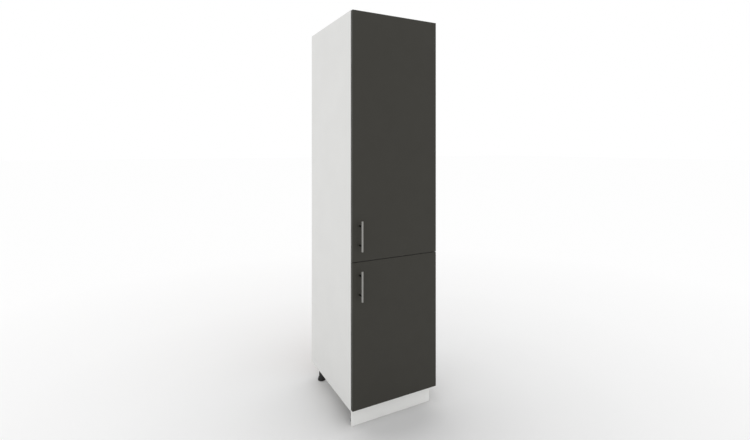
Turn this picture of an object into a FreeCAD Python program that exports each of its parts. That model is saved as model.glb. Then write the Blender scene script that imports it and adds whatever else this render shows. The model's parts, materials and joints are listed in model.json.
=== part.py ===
import FreeCAD, Part
import os

# Tall pantry cabinet, in millimetres. X runs across the doors, Y runs from the doors to the back, Z is up.
# The origin is on the floor, under the middle of the whole cabinet with its handles.

# Carcass
cabinet_width = 500.0
carcass_depth = 570.0
carcass_height = 1978.0
leg_height = 92.0
carcass_board = 16.0
back_board = 3.0
back_inset = 15.0
groove_depth = 8.0
groove_play = 0.2
back_edge_play = 0.5

# Doors
door_board = 18.0
door_back_gap = 2.0
door_side_reveal = 1.5
door_top_reveal = 2.0
door_bottom_reveal = 8.0
door_split_gap = 3.0
lower_door_height = 727.0
door_edge_round = 1.0
bumper_radius = 4.0
bumper_inset_z = 30.0
bumper_play = 0.3

# Bar handles
bar_radius = 5.0
bar_length = 150.0
bar_end_chamfer = 0.6
post_centres = 96.0
post_radius = 4.0
bar_standoff = 30.0
handle_edge_inset = 39.0
upper_handle_rise = 129.5
lower_handle_drop = 114.5
handle_screw_radius = 2.0
handle_screw_bite = 8.0
handle_head_radius = 4.0
handle_head_height = 2.4

# Fits
pin_fit = 0.05
screw_fit = 0.05
run_fit = 0.3
blind_end_play = 0.5

# Shelves and their pins
hole_pitch = 32.0
upper_shelf_steps = (9, 16, 26)
lower_shelf_steps = 11
holes_beside_pin = 2
pin_line = 37.0
pin_radius = 2.5
pin_skin = 6.0
pad_reach = 8.0
pad_width = 10.0
pad_height = 6.0
shelf_side_play = 1.0
shelf_front_setback = 20.0
shelf_back_play = 2.0

# Back panel strip
strip_wall = 1.0
strip_flange = 8.0
strip_play = 0.1
strip_end_play = 0.5

# Knock-down joints
cam_radius = 7.5
cam_skin = 3.0
cam_from_end = 24.0
cam_line = 120.0
bolt_radius = 3.0
bolt_head_radius = 3.5
bolt_head_length = 3.0
bolt_hole_radius = 3.7
bolt_thread_radius = 2.5
bolt_bite = 11.0
dowel_radius = 4.0
dowel_in_side = 10.0
dowel_in_end = 20.0
dowel_from_cam = 32.0

# Small pan-head screws
screw_radius = 1.5
screw_head_radius = 3.5
screw_head_height = 2.0
screw_skin = 4.0

# Hinges: p runs from the right panel's inner face into the cabinet, q runs forward from the carcass front.
# Pivots on the arm are set from the carcass, and pivots in the cup from the middle of the cup's mouth.
hinge_end_inset = 100.0
cup_radius = 17.5
cup_edge_distance = 22.0
cup_depth = 13.0
cup_floor = 0.6
cup_wall = 0.8
cup_bore_play = 0.1
cup_cavity_half = 8.0
cup_flange = 1.0
flange_lip = 0.5
wing_half = 29.0
wing_near = 1.5
wing_far = 17.5
cup_screw_spread = 22.5
cup_screw_offset = 9.5
arm_pivot_outer = (20.7, -2.7)
arm_pivot_inner = (18.9, 8.1)
cup_pivot_outer = (-11.4, 7.5)
cup_pivot_inner = (-7.6, 3.4)
outer_link_bend = (11.3, 2.5)
outer_link_waist = (-8.5, 6.9)
inner_link_bend = (9.9, 1.7)
pivot_radius = 1.25
eye_radius = 2.6
link_half_thick = 1.2
outer_link_half = 3.0
inner_link_thick = 1.4
arm_cheek = 1.4
link_gap = 0.6
slot_play = 1.1
slot_run = 3.9
slot_wall = 1.0
cup_pin_bite = 2.0
plate_base = 2.0
plate_wing_half = 26.0
plate_wing_width = 12.0
plate_screw_spread = 16.0
plate_height = 8.0
plate_front = 22.0
plate_back = 62.0
arm_web = 1.4
arm_overhang = 2.0
arm_skirt = 4.0
nose_root = 30.0
nose_heel = 20.0
nose_throat = (12.0, -7.0)
arm_screw_radius = 1.7
arm_screw_bite = 5.0

# Legs
front_leg_side_inset = 50.0
back_leg_side_inset = 40.5
leg_plinth_gap = 1.5
leg_back_inset = 62.0
socket_plate = 46.0
socket_flange = 4.0
socket_boss_radius = 15.0
socket_foot_gap = 1.5
socket_bore_roof = 2.0
socket_screw_spread = 18.0
stem_radius = 10.0
foot_radius = 22.5
foot_rim = 4.0
foot_height = 24.0

# Plinth
plinth_board = 12.0
plinth_setback = 22.0
plinth_side_inset = 16.5
plinth_top_gap = 2.0
seal_height = 1.5
seal_lift = 0.5
clip_wall = 3.0
clip_width = 48.0
clip_height = 16.0
clip_drop = 24.0
clip_past_leg = 6.0
clip_screw_spread = 8.0

# Wall brackets
bracket_width = 40.0
bracket_leg = 38.0
bracket_wall = 2.0
bracket_from_side = 60.0
bracket_screw_spread = 12.0
bracket_screw_line = 20.0
wall_hole_radius = 3.0
wall_hole_drop = 22.0

V = FreeCAD.Vector
UP = V(0, 0, 1)

# Planes and places that follow from the sizes
handle_reach = bar_standoff + bar_radius
total_depth = carcass_depth + door_back_gap + door_board + handle_reach
y_back = total_depth / 2
y_carcass = y_back - carcass_depth
y_door_back = y_carcass - door_back_gap
y_door_front = y_door_back - door_board
y_sheet_back = y_back - back_inset
y_sheet_front = y_sheet_back - back_board
y_strip_front = y_sheet_front - strip_play - strip_wall
x_out = cabinet_width / 2
x_in = x_out - carcass_board
z_low = leg_height
z_high = leg_height + carcass_height
z_floor = z_low + carcass_board
z_ceiling = z_high - carcass_board
lower_door_z = (z_low + door_bottom_reveal, z_low + door_bottom_reveal + lower_door_height)
upper_door_z = (lower_door_z[1] + door_split_gap, z_high - door_top_reveal)
z_split = lower_door_z[1] + door_split_gap / 2
z_fixed = (z_split - carcass_board / 2, z_split + carcass_board / 2)
door_half = x_out - door_side_reveal
shelf_z = {}
for n, steps in enumerate(upper_shelf_steps, 1):
    shelf_z["shelf_upper_%d" % n] = z_fixed[1] + steps * hole_pitch
shelf_z["shelf_lower"] = z_floor + lower_shelf_steps * hole_pitch
pin_depth = carcass_board - pin_skin
pin_ys = (y_carcass + pin_line, y_sheet_front - pin_line)
cam_ys = (y_carcass + cam_line, y_sheet_front - cam_line)
dowel_ys = (cam_ys[0] + dowel_from_cam, cam_ys[1] - dowel_from_cam)
board_zs = {"top_panel": z_ceiling, "bottom_panel": z_low, "fixed_shelf": z_fixed[0]}
z_between_shelves = (shelf_z["shelf_upper_2"] + carcass_board + shelf_z["shelf_upper_3"]) / 2
upper_hinge_zs = (upper_door_z[0] + hinge_end_inset, z_between_shelves, upper_door_z[1] - hinge_end_inset)
lower_hinge_zs = (lower_door_z[0] + hinge_end_inset, lower_door_z[1] - hinge_end_inset)
hinge_zs = upper_hinge_zs + lower_hinge_zs
handle_x = -door_half + handle_edge_inset
handle_y = y_door_front - bar_standoff
upper_handle_z = z_split + upper_handle_rise
lower_handle_z = z_split - lower_handle_drop
leg_xs = {"front": x_out - front_leg_side_inset, "back": x_out - back_leg_side_inset}
z_socket = z_low - socket_flange
z_boss = foot_height + socket_foot_gap
z_bore_top = z_low - socket_bore_roof
z_stem_top = z_bore_top - run_fit
y_plinth = y_carcass + plinth_setback
y_plinth_back = y_plinth + plinth_board
leg_ys = {"front": y_plinth_back + leg_plinth_gap + socket_plate / 2, "back": y_back - leg_back_inset}
plinth_half = x_out - plinth_side_inset

# Hinge points in p and q
cup_p = -(carcass_board - door_side_reveal) + cup_edge_distance
mouth_q = door_back_gap
pivot_a1 = V(arm_pivot_outer[0], arm_pivot_outer[1], 0)
pivot_a2 = V(arm_pivot_inner[0], arm_pivot_inner[1], 0)
pivot_c1 = V(cup_p + cup_pivot_outer[0], mouth_q + cup_pivot_outer[1], 0)
pivot_c2 = V(cup_p + cup_pivot_inner[0], mouth_q + cup_pivot_inner[1], 0)
inner_z = (outer_link_half + link_gap, outer_link_half + link_gap + inner_link_thick)
cheek_z = (inner_z[1] + link_gap, inner_z[1] + link_gap + arm_cheek)


def box(x0, x1, y0, y1, z0, z1):
    """Block between three pairs of planes."""
    return Part.makeBox(x1 - x0, y1 - y0, z1 - z0, V(x0, y0, z0))


def rod(radius, start, end):
    """Round bar from one point to another."""
    run = end - start
    return Part.makeCylinder(radius, run.Length, start, run)


def fuse(solids):
    """One clean solid from several that meet."""
    return solids[0].fuse(solids[1:]).removeSplitter()


def both_sides(make):
    """The same shapes for the left (-1) and the right (+1)."""
    return [solid for side in (-1, 1) for solid in make(side)]


def save(node, solids):
    """Write one node, of one solid or of several alike."""
    shape = solids[0] if len(solids) == 1 else Part.makeCompound(solids)
    shape.exportStep("parts/%s.step" % node)


def pan_screw(seat, way, length, radius=screw_radius, head=screw_head_radius, height=screw_head_height):
    """Screw whose head stands on the seat, with its shank going the given way."""
    return fuse([rod(head, seat, seat - way * height), rod(radius, seat, seat + way * length)])


def screw_hole(seat, way, length, radius=screw_radius):
    """Hole for that screw, a little wider and deeper than the shank."""
    return rod(radius + screw_fit, seat, seat + way * (length + blind_end_play))


# Carcass boards

def shelf_pin_spots():
    """Height and line of every hole that a shelf pin can go into."""
    spots = []
    for z in shelf_z.values():
        for step in range(-holes_beside_pin, holes_beside_pin + 1):
            spots += [(y, z - pad_height / 2 + step * hole_pitch) for y in pin_ys]
    return spots


def joint_heights():
    """Middle heights of the boards that are joined to the sides."""
    return [z + carcass_board / 2 for z in board_zs.values()]


def back_groove_box():
    """Room that the grooves make for the back sheets."""
    reach = x_in + groove_depth
    return box(-reach, reach, y_sheet_front - groove_play, y_sheet_back + groove_play,
               z_floor - groove_depth, z_ceiling + groove_depth)


def side_panel(side):
    """Side board with its groove, pin holes and joint holes."""
    x0, x1 = sorted((side * x_in, side * x_out))
    board = box(x0, x1, y_carcass, y_back, z_low, z_high)
    way = V(side, 0, 0)
    tools = [back_groove_box()]
    for y, z in shelf_pin_spots():
        tools.append(rod(pin_radius + pin_fit, V(side * x_in, y, z), V(side * (x_in + pin_depth), y, z)))
    for z in joint_heights():
        tools += [screw_hole(V(side * x_in, y, z), way, bolt_bite, bolt_thread_radius) for y in cam_ys]
        tools += [screw_hole(V(side * x_in, y, z), way, dowel_in_side, dowel_radius) for y in dowel_ys]
    if side > 0:
        tools += [screw_hole(seat, way, plate_screw_length()) for seat in plate_screw_seats(0)]
    return board.cut(tools)


def end_holes(z):
    """Cam, bolt and dowel holes in both ends of a board whose lower face is at z."""
    middle = z + carcass_board / 2
    tools = []
    for side in (-1, 1):
        cam_x = side * (x_in - cam_from_end)
        for y in cam_ys:
            floor = V(cam_x, y, z)
            tools.append(rod(cam_radius + pin_fit, floor, floor + UP * (carcass_board - cam_skin)))
            tools.append(rod(bolt_hole_radius, V(side * x_in, y, middle), V(cam_x, y, middle)))
        for y in dowel_ys:
            tools.append(screw_hole(V(side * x_in, y, middle), V(-side, 0, 0), dowel_in_end, dowel_radius))
    return tools


def top_panel():
    """Top board between the sides."""
    board = box(-x_in, x_in, y_carcass, y_back, z_ceiling, z_high)
    tools = [back_groove_box()] + end_holes(z_ceiling)
    tools += [screw_hole(seat, UP, bracket_screw_length()) for seat in bracket_screw_seats()]
    return board.cut(tools)


def bottom_panel():
    """Bottom board between the sides, with the screw holes of the leg sockets."""
    board = box(-x_in, x_in, y_carcass, y_back, z_low, z_floor)
    tools = [back_groove_box()] + end_holes(z_low)
    tools += [screw_hole(seat, UP, socket_screw_length()) for seat in socket_screw_seats()]
    return board.cut(tools)


def fixed_shelf():
    """Fixed board behind the gap between the doors."""
    board = box(-x_in, x_in, y_carcass, y_strip_front, z_fixed[0], z_fixed[1])
    return board.cut(end_holes(z_fixed[0]))


def back_sheet(z0, z1):
    """Thin back sheet in the grooves, with the holes that fall on it for the wall fixings."""
    half = x_in + groove_depth - back_edge_play
    sheet = box(-half, half, y_sheet_front, y_sheet_back, z0, z1)
    holes = []
    for x in bracket_xs():
        start = V(x, y_sheet_front, wall_hole_z())
        holes.append(rod(wall_hole_radius + blind_end_play, start, start + V(0, back_board, 0)))
    return sheet.cut(holes)


def back_panels():
    """Upper and lower back sheets, which meet the web of the joining strip."""
    top = z_ceiling + groove_depth - back_edge_play
    bottom = z_floor - groove_depth
    save("back_panel_upper", [back_sheet(z_split + strip_wall / 2, top)])
    save("back_panel_lower", [back_sheet(bottom, z_split - strip_wall / 2)])


def joining_strip():
    """H-shaped strip between the two back sheets."""
    half = x_in - strip_end_play
    y0 = y_strip_front
    y1 = y_sheet_back + strip_play + strip_wall
    z0 = z_split - strip_wall / 2
    z1 = z_split + strip_wall / 2
    front = box(-half, half, y0, y0 + strip_wall, z0 - strip_flange, z1 + strip_flange)
    rear = box(-half, half, y1 - strip_wall, y1, z0 - strip_flange, z1 + strip_flange)
    return fuse([front, rear, box(-half, half, y0, y1, z0, z1)])


# Joint fittings

def cam_lock(side, y, z):
    """Round cam with a side mouth for the bolt head."""
    x = side * (x_in - cam_from_end)
    middle = z + carcass_board / 2
    body = rod(cam_radius, V(x, y, z), V(x, y, z + carcass_board - cam_skin))
    mouth = rod(bolt_hole_radius, V(x - side * bolt_head_length, y, middle), V(side * x_in, y, middle))
    return body.cut(mouth)


def cam_bolt(side, y, z):
    """Bolt from the side panel into the middle of the cam."""
    middle = z + carcass_board / 2
    tip = side * (x_in - cam_from_end)
    neck = V(tip + side * bolt_head_length, y, middle)
    face = V(side * x_in, y, middle)
    thread = rod(bolt_thread_radius, face, V(side * (x_in + bolt_bite), y, middle))
    head = rod(bolt_head_radius, V(tip, y, middle), neck)
    return fuse([head, rod(bolt_radius, neck, face), thread])


def dowel(side, y, z):
    """Wood dowel across the joint."""
    middle = z + carcass_board / 2
    start = V(side * (x_in - dowel_in_end), y, middle)
    return rod(dowel_radius, start, start + V(side * (dowel_in_end + dowel_in_side), 0, 0))


def joint_fittings():
    """Cams, bolts and dowels at both ends of every joined board."""
    zs = board_zs.values()
    save("cam_locks", both_sides(lambda side: [cam_lock(side, y, z) for z in zs for y in cam_ys]))
    save("cam_bolts", both_sides(lambda side: [cam_bolt(side, y, z) for z in zs for y in cam_ys]))
    save("wood_dowels", both_sides(lambda side: [dowel(side, y, z) for z in zs for y in dowel_ys]))


# Loose shelves

def shelf_pin(side, y, z):
    """Peg in the panel with a flat pad under the shelf."""
    peg_z = z - pad_height / 2
    face = side * x_in
    peg = rod(pin_radius, V(face, y, peg_z), V(side * (x_in + pin_depth - blind_end_play), y, peg_z))
    x0, x1 = sorted((face, face - side * pad_reach))
    pad = box(x0, x1, y - pad_width / 2, y + pad_width / 2, z - pad_height, z)
    return fuse([pad, peg])


def loose_shelf(z):
    """Shelf that lies on its four pads."""
    half = x_in - shelf_side_play
    y0 = y_carcass + shelf_front_setback
    y1 = y_sheet_front - shelf_back_play
    return box(-half, half, y0, y1, z, z + carcass_board)


def shelves():
    """Loose shelves and the pins that carry them."""
    zs = shelf_z.values()
    save("shelf_pins", both_sides(lambda side: [shelf_pin(side, y, z) for z in zs for y in pin_ys]))
    for node, z in shelf_z.items():
        save(node, [loose_shelf(z)])


# Hinges

def at_hinges(piece, zs):
    """Copies of a hinge piece, turned from p and q into the cabinet and set at each height."""
    copies = []
    for z in zs:
        copy = piece.copy()
        copy.rotate(V(0, 0, 0), UP, 180)
        copy.translate(V(x_in, y_carcass, z))
        copies.append(copy)
    return copies


def slab(points, z0, z1):
    """Flat plate with straight edges through points in p and q."""
    corners = [V(p, q, z0) for p, q in points]
    face = Part.Face(Part.makePolygon(corners + corners[:1]))
    return face.extrude(UP * (z1 - z0))


def bar_between(start, end, half, z0, z1):
    """Plate of even width with round ends."""
    way = (end - start).normalize()
    across = V(-way.y, way.x, 0) * half
    corners = [start + across, end + across, end - across, start - across]
    plate = slab([(c.x, c.y) for c in corners], z0, z1)
    return fuse([plate, disc(start, half, z0, z1), disc(end, half, z0, z1)])


def disc(centre, radius, z0, z1):
    """Round plate about a hinge axis."""
    return rod(radius, V(centre.x, centre.y, z0), V(centre.x, centre.y, z1))


def mirrored(piece):
    """The piece and its copy on the other side of the hinge's middle."""
    return [piece, piece.mirror(V(0, 0, 0), UP)]


def plate_screw_length():
    """Length of a hinge plate screw under its head."""
    return carcass_board + plate_base - screw_skin


def plate_screw_seats(height):
    """Places of the plate screws, at a height over the panel's face."""
    x = x_in - height
    y = y_carcass + pin_line
    return [V(x, y, z + end * plate_screw_spread) for z in hinge_zs for end in (-1, 1)]


def hinge_plate():
    """Mounting plate with two screwed wings and a rib that carries the arm."""
    q0 = -pin_line - plate_wing_width / 2
    wings = box(0, plate_base, q0, q0 + plate_wing_width, -plate_wing_half, plate_wing_half)
    rib_half = cheek_z[0] - run_fit
    rib = box(0, plate_height, -plate_back, -plate_front, -rib_half, rib_half)
    holes = []
    for end in (-1, 1):
        seat = V(0, -pin_line, end * plate_screw_spread)
        holes.append(rod(screw_radius + screw_fit, seat, seat + V(plate_base, 0, 0)))
    bite = V(plate_height - arm_screw_bite - blind_end_play, arm_screw_q(), 0)
    holes.append(rod(arm_screw_radius + screw_fit, bite, V(plate_height, arm_screw_q(), 0)))
    return fuse([wings, rib]).cut(holes)


def arm_screw_q():
    """Line of the screw that holds the arm on its plate."""
    return -(plate_front + plate_back) / 2


def nose_outline():
    """Outline of an arm cheek: skirt beside the plate, then the nose that carries the two pivots."""
    top = plate_height + arm_web
    back = -plate_back - arm_overhang
    outer = pivot_a1 + V(eye_radius, 0, 0)
    inner = pivot_a2 + V(-eye_radius, 0, 0)
    tip = pivot_a2 + V(link_half_thick, 0, 0)
    skirt = [(arm_skirt, back), (top, back), (top, -nose_root)]
    nose = [(outer.x, outer.y), (tip.x, tip.y), (inner.x, inner.y), nose_throat]
    return skirt + nose + [(arm_skirt, -nose_heel)]


def hinge_arm():
    """Arm of two cheeks and a web, with holes for its two pins and its screw."""
    z0, z1 = cheek_z
    eyes = [disc(pivot, eye_radius, z0, z1) for pivot in (pivot_a1, pivot_a2)]
    cheek = fuse([slab(nose_outline(), z0, z1)] + eyes)
    web = box(plate_height, plate_height + arm_web, -plate_back - arm_overhang, -nose_root, -z1, z1)
    holes = [disc(pivot, pivot_radius + pin_fit, -z1, z1) for pivot in (pivot_a1, pivot_a2)]
    seat = V(plate_height, arm_screw_q(), 0)
    holes.append(rod(arm_screw_radius + screw_fit, seat, seat + V(arm_web, 0, 0)))
    return fuse(mirrored(cheek) + [web]).cut(holes)


def arm_pins():
    """The two pins across the nose of an arm."""
    return [disc(pivot, pivot_radius, -cheek_z[1], cheek_z[1]) for pivot in (pivot_a1, pivot_a2)]


def outer_link():
    """Bent middle link from the arm to the cup, shaped to clear the cup's rim when the door is open."""
    half = outer_link_half
    bend = pivot_c1 + V(outer_link_bend[0], outer_link_bend[1], 0)
    waist = pivot_a1 + V(outer_link_waist[0], outer_link_waist[1], 0)
    path = [pivot_c1, bend, waist, pivot_a1]
    bars = [bar_between(a, b, link_half_thick, -half, half) for a, b in zip(path, path[1:])]
    eyes = [disc(pivot, eye_radius, -half, half) for pivot in (pivot_c1, pivot_a1)]
    bores = [disc(pivot, pivot_radius + pin_fit, -half, half) for pivot in (pivot_c1, pivot_a1)]
    return fuse(bars + eyes).cut(bores)


def inner_link():
    """Side link from the cup to the arm. Its slot leaves the arm's pin the room that the swing needs."""
    z0, z1 = inner_z
    way = (pivot_c2 - pivot_a2).normalize()
    bend = pivot_a2 + way * inner_link_bend[0] + V(way.y, -way.x, 0) * inner_link_bend[1]
    slot_end = pivot_a2 + way * slot_run
    slot_half = pivot_radius + slot_play
    bars = [bar_between(end, bend, link_half_thick, z0, z1) for end in (slot_end, pivot_c2)]
    rim = bar_between(pivot_a2, slot_end, slot_half + slot_wall, z0, z1)
    slot = bar_between(pivot_a2, slot_end, slot_half, z0, z1)
    eye = disc(pivot_c2, eye_radius, z0, z1)
    return fuse(bars + [rim, eye]).cut([slot, disc(pivot_c2, pivot_radius + pin_fit, z0, z1)])


def hinge_cup():
    """Round cup sunk in the door, with a screwed flange and a mouth for the links."""
    q0 = mouth_q - cup_flange
    body = rod(cup_radius, V(cup_p, q0, 0), V(cup_p, mouth_q + cup_depth, 0))
    lip = rod(cup_radius + flange_lip, V(cup_p, q0, 0), V(cup_p, mouth_q, 0))
    wings = box(cup_p + wing_near, cup_p + wing_far, q0, mouth_q, -wing_half, wing_half)
    mouth = rod(cup_radius - cup_wall, V(cup_p, q0, 0), V(cup_p, mouth_q + cup_depth - cup_floor, 0))
    half = cup_cavity_half
    slot = box(cup_p - cup_radius, cup_p + cup_radius, q0, mouth_q + cup_depth, -half, half)
    holes = [mouth.common(slot)]
    for pivot in (pivot_c1, pivot_c2):
        holes.append(disc(pivot, pivot_radius + pin_fit, -cup_pin_half(), cup_pin_half()))
    for seat in cup_screw_spots(q0):
        holes.append(rod(screw_radius + screw_fit, seat, seat + V(0, cup_flange, 0)))
    return fuse([body, lip, wings]).cut(holes)


def cup_pin_half():
    """Half length of the pin across a cup."""
    return cup_cavity_half + cup_pin_bite


def cup_pins():
    """Long pin of the outer link, and two short pins that leave the middle free for it."""
    short = disc(pivot_c2, pivot_radius, inner_z[0] - link_gap / 2, cup_pin_half())
    return [disc(pivot_c1, pivot_radius, -cup_pin_half(), cup_pin_half())] + mirrored(short)


def cup_screw_spots(q):
    """Places of a cup's two screws in p and q."""
    return [V(cup_p + cup_screw_offset, q, end * cup_screw_spread) for end in (-1, 1)]


def cup_screw_length():
    """Length of a cup screw under its head."""
    return door_board + cup_flange - screw_skin


def cup_screws():
    """The two screws of a cup."""
    seats = cup_screw_spots(mouth_q - cup_flange)
    return [pan_screw(seat, V(0, 1, 0), cup_screw_length()) for seat in seats]


def hinges():
    """Carcass side of every hinge."""
    save("hinge_plates", at_hinges(hinge_plate(), hinge_zs))
    save("hinge_arms", at_hinges(hinge_arm(), hinge_zs))
    save("hinge_arm_pins", [pin for part in arm_pins() for pin in at_hinges(part, hinge_zs)])
    seat = V(plate_height + arm_web, arm_screw_q(), 0)
    screw = pan_screw(seat, V(-1, 0, 0), arm_web + arm_screw_bite, arm_screw_radius)
    save("hinge_arm_screws", at_hinges(screw, hinge_zs))
    seats = plate_screw_seats(plate_base)
    save("hinge_plate_screws", [pan_screw(seat, V(1, 0, 0), plate_screw_length()) for seat in seats])


# Doors

def door_panel(door_z, zs, handle_z):
    """Door slab with softened front edges, bored for its hinge cups and its handle."""
    panel = box(-door_half, door_half, y_door_front, y_door_back, door_z[0], door_z[1])
    front = [edge for edge in panel.Edges if edge.BoundBox.YMax < y_door_front + door_edge_round]
    panel = panel.makeFillet(door_edge_round, front)
    seat = V(cup_p, mouth_q, 0)
    bore = rod(cup_radius + cup_bore_play, seat, seat + V(0, cup_depth + cup_bore_play, 0))
    tools = at_hinges(bore, zs)
    for spot in cup_screw_spots(mouth_q):
        tools += at_hinges(screw_hole(spot, V(0, 1, 0), cup_screw_length() - cup_flange), zs)
    for z in post_zs(handle_z):
        start = V(handle_x, y_door_front, z)
        tools.append(rod(handle_screw_radius + screw_fit, start, start + V(0, door_board, 0)))
    return panel.cut(tools)


def door_bumper(z):
    """Soft dot on the door's inner face, in front of the left side panel's edge."""
    x = -(x_in + x_out) / 2
    return rod(bumper_radius, V(x, y_door_back, z), V(x, y_door_back + door_back_gap - bumper_play, z))


def post_zs(handle_z):
    """Heights of a handle's two posts."""
    return (handle_z - post_centres / 2, handle_z + post_centres / 2)


def handle_bar(handle_z):
    """Round bar with softened ends."""
    foot = V(handle_x, handle_y, handle_z - bar_length / 2)
    bar = rod(bar_radius, foot, foot + UP * bar_length)
    rims = [edge for edge in bar.Edges if edge.BoundBox.ZLength < bar_end_chamfer]
    return bar.makeChamfer(bar_end_chamfer, rims)


def handle_post(z):
    """Post from the door to the bar, hollowed to the bar's round and bored for its screw."""
    middle = V(handle_x, handle_y, z)
    post = rod(post_radius, V(handle_x, y_door_front, z), middle)
    saddle = rod(bar_radius + pin_fit, middle - UP * bar_radius, middle + UP * bar_radius)
    thread = screw_hole(V(handle_x, y_door_front, z), V(0, -1, 0), handle_screw_bite, handle_screw_radius)
    return post.cut([saddle, thread])


def handle_screw(z):
    """Machine screw from inside the door into a post."""
    return pan_screw(V(handle_x, y_door_back, z), V(0, -1, 0), door_board + handle_screw_bite,
                     handle_screw_radius, handle_head_radius, handle_head_height)


def door(name, door_z, zs, handle_z):
    """One door with everything that swings with it, and its links."""
    save(name + "_door_panel", [door_panel(door_z, zs, handle_z)])
    bumper_zs = (door_z[0] + bumper_inset_z, door_z[1] - bumper_inset_z)
    save(name + "_door_bumpers", [door_bumper(z) for z in bumper_zs])
    save(name + "_handle_bar", [handle_bar(handle_z)])
    save(name + "_handle_posts", [handle_post(z) for z in post_zs(handle_z)])
    save(name + "_handle_screws", [handle_screw(z) for z in post_zs(handle_z)])
    save(name + "_hinge_cups", at_hinges(hinge_cup(), zs))
    save(name + "_hinge_cup_pins", [pin for part in cup_pins() for pin in at_hinges(part, zs)])
    save(name + "_hinge_cup_screws", [screw for part in cup_screws() for screw in at_hinges(part, zs)])
    save(name + "_outer_links", at_hinges(outer_link(), zs))
    save(name + "_inner_links", [link for part in mirrored(inner_link()) for link in at_hinges(part, zs)])


# Legs

def socket_screw_length():
    """Length of a leg socket screw under its head."""
    return carcass_board + socket_flange - screw_skin


def leg_axes():
    """Floor points of the four legs, by name."""
    axes = {}
    for row, y in leg_ys.items():
        axes[row + "_left"] = V(-leg_xs[row], y, 0)
        axes[row + "_right"] = V(leg_xs[row], y, 0)
    return axes


def screw_corners(axis):
    """Points of the four screws round one leg."""
    return [axis + V(i, j, 0) * socket_screw_spread for i in (-1, 1) for j in (-1, 1)]


def socket_screw_seats():
    """Places of all leg socket screws, on the lower face of the flanges."""
    return [point + UP * z_socket for axis in leg_axes().values() for point in screw_corners(axis)]


def leg_socket(axis):
    """Flanged socket under the bottom panel, bored for the foot's stem."""
    half = socket_plate / 2
    plate = box(axis.x - half, axis.x + half, axis.y - half, axis.y + half, z_socket, z_low)
    boss = rod(socket_boss_radius, axis + UP * z_boss, axis + UP * z_socket)
    holes = [rod(stem_radius + run_fit, axis + UP * z_boss, axis + UP * z_bore_top)]
    for point in screw_corners(axis):
        holes.append(rod(screw_radius + screw_fit, point + UP * z_socket, point + UP * z_low))
    return fuse([plate, boss]).cut(holes)


def leg_foot(axis):
    """Foot that flares out from the socket's width, on a round stem."""
    rim = rod(foot_radius, axis, axis + UP * foot_rim)
    flare = Part.makeCone(foot_radius, socket_boss_radius, foot_height - foot_rim, axis + UP * foot_rim, UP)
    return fuse([rim, flare, rod(stem_radius, axis + UP * foot_height, axis + UP * z_stem_top)])


def legs():
    """Four sockets with their screws, and four feet."""
    for name, axis in leg_axes().items():
        save("leg_socket_" + name, [leg_socket(axis)])
        save("leg_foot_" + name, [leg_foot(axis)])
    save("leg_socket_screws", [pan_screw(seat, UP, socket_screw_length()) for seat in socket_screw_seats()])


# Plinth

def clip_z():
    """Lower edge of the plinth clips."""
    return z_socket - clip_drop - clip_height


def plinth_clip(x):
    """Clip on the plinth's back face, with two arms beside the front leg's boss."""
    z0 = clip_z()
    z1 = z0 + clip_height
    near = socket_boss_radius + run_fit
    tip = leg_ys["front"] + clip_past_leg
    base = box(x - clip_width / 2, x + clip_width / 2, y_plinth_back, y_plinth_back + clip_wall, z0, z1)
    arms = [box(x - near - clip_wall, x - near, y_plinth_back, tip, z0, z1),
            box(x + near, x + near + clip_wall, y_plinth_back, tip, z0, z1)]
    return fuse([base] + arms).cut([rod(screw_radius + screw_fit, seat, seat + V(0, -clip_wall, 0))
                                    for seat in clip_screw_seats(x)])


def clip_screw_seats(x):
    """Places of a clip's two screws, on the back of its base."""
    z = clip_z() + clip_height / 2
    return [V(x + end * clip_screw_spread, y_plinth_back + clip_wall, z) for end in (-1, 1)]


def clip_screw_length():
    """Length of a clip screw under its head."""
    return plinth_board + clip_wall - screw_skin


def plinth():
    """Plinth board, its seal strip, its clips and their screws."""
    clip_xs = (-leg_xs["front"], leg_xs["front"])
    seats = [seat for x in clip_xs for seat in clip_screw_seats(x)]
    way = V(0, -1, 0)
    z_seal = seal_lift + seal_height
    board = box(-plinth_half, plinth_half, y_plinth, y_plinth_back, z_seal, z_low - plinth_top_gap)
    save("plinth_board", [board.cut([screw_hole(seat, way, clip_screw_length()) for seat in seats])])
    save("plinth_seal_strip", [box(-plinth_half, plinth_half, y_plinth, y_plinth_back, seal_lift, z_seal)])
    save("plinth_clips", [plinth_clip(x) for x in clip_xs])
    save("plinth_clip_screws", [pan_screw(seat, way, clip_screw_length()) for seat in seats])


# Wall brackets

def bracket_xs():
    """Middles of the two wall brackets."""
    return (-x_in + bracket_from_side, x_in - bracket_from_side)


def wall_hole_z():
    """Height of the wall fixing holes."""
    return z_ceiling - wall_hole_drop


def bracket_screw_length():
    """Length of a bracket screw under its head."""
    return carcass_board + bracket_wall - screw_skin


def bracket_screw_seats():
    """Places of all bracket screws, on the lower face of the brackets."""
    y = y_sheet_front - groove_play - bracket_screw_line
    z = z_ceiling - bracket_wall
    return [V(x + end * bracket_screw_spread, y, z) for x in bracket_xs() for end in (-1, 1)]


def wall_bracket(x):
    """Angle under the top panel, against the back sheet, with a hole for a wall fixing."""
    x0 = x - bracket_width / 2
    x1 = x + bracket_width / 2
    y1 = y_sheet_front
    flat = box(x0, x1, y1 - bracket_leg, y1, z_ceiling - bracket_wall, z_ceiling)
    upright = box(x0, x1, y1 - bracket_wall, y1, z_ceiling - bracket_leg, z_ceiling)
    holes = [rod(wall_hole_radius, V(x, y1 - bracket_wall, wall_hole_z()), V(x, y1, wall_hole_z()))]
    for seat in bracket_screw_seats():
        holes.append(rod(screw_radius + screw_fit, seat, seat + UP * bracket_wall))
    return fuse([flat, upright]).cut(holes)


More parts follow.
